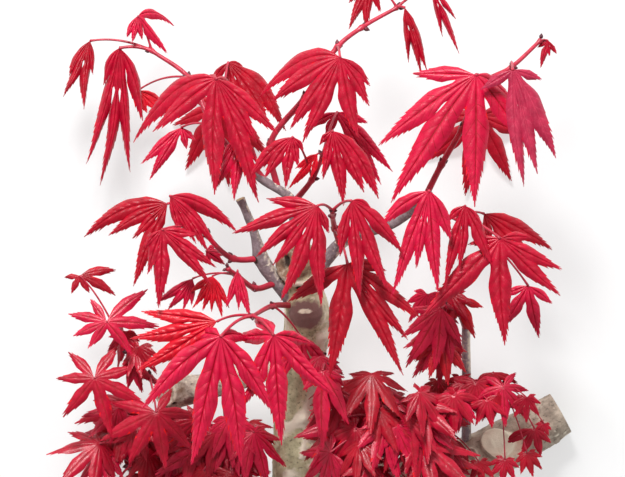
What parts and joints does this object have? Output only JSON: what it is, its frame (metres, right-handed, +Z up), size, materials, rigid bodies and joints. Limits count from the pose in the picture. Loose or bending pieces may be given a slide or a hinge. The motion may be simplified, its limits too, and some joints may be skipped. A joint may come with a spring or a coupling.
{
  "type": "japanese maple branch",
  "caption": "Cut branch of a red japanese maple lying on its back: a pruned stem, boughs and twigs that carry shoots of hanging palmate leaves.",
  "frame": {"origin": "middle of the underside: the point of the floor under the middle of the branch as it lies", "axes": "+Y the way the branch grew, +Z up from the floor towards the leaves' upper faces, +X to the right as the leaves are looked at"},
  "size_m": [0.2132, 0.2336, 0.1045],
  "materials": {
    "bark": "weathered grey-olive bark with pale callus rings",
    "twig": "smooth grey-lilac twig bark",
    "leaf": "satin crimson leaf and red stalk"
  },
  "bodies": {
    "root": {"main_stem": "bark", "left_bough": "bark", "right_bough": "bark", "far_twig": "twig", "left_twig": "twig", "upper_twig": "twig", "right_twig": "twig", "upper_left": "leaf", "middle_left": "leaf", "top_middle": "leaf", "middle": "leaf", "front_middle": "leaf", "right": "leaf", "right_middle": "leaf", "left": "leaf", "young_left": "leaf", "front_left": "leaf", "stem_sprout": "leaf", "low_left": "leaf", "low_left_far": "leaf", "low_middle": "leaf", "low_right": "leaf", "low_right_far": "leaf", "right_far": "leaf"}
  },
  "joints": []
}
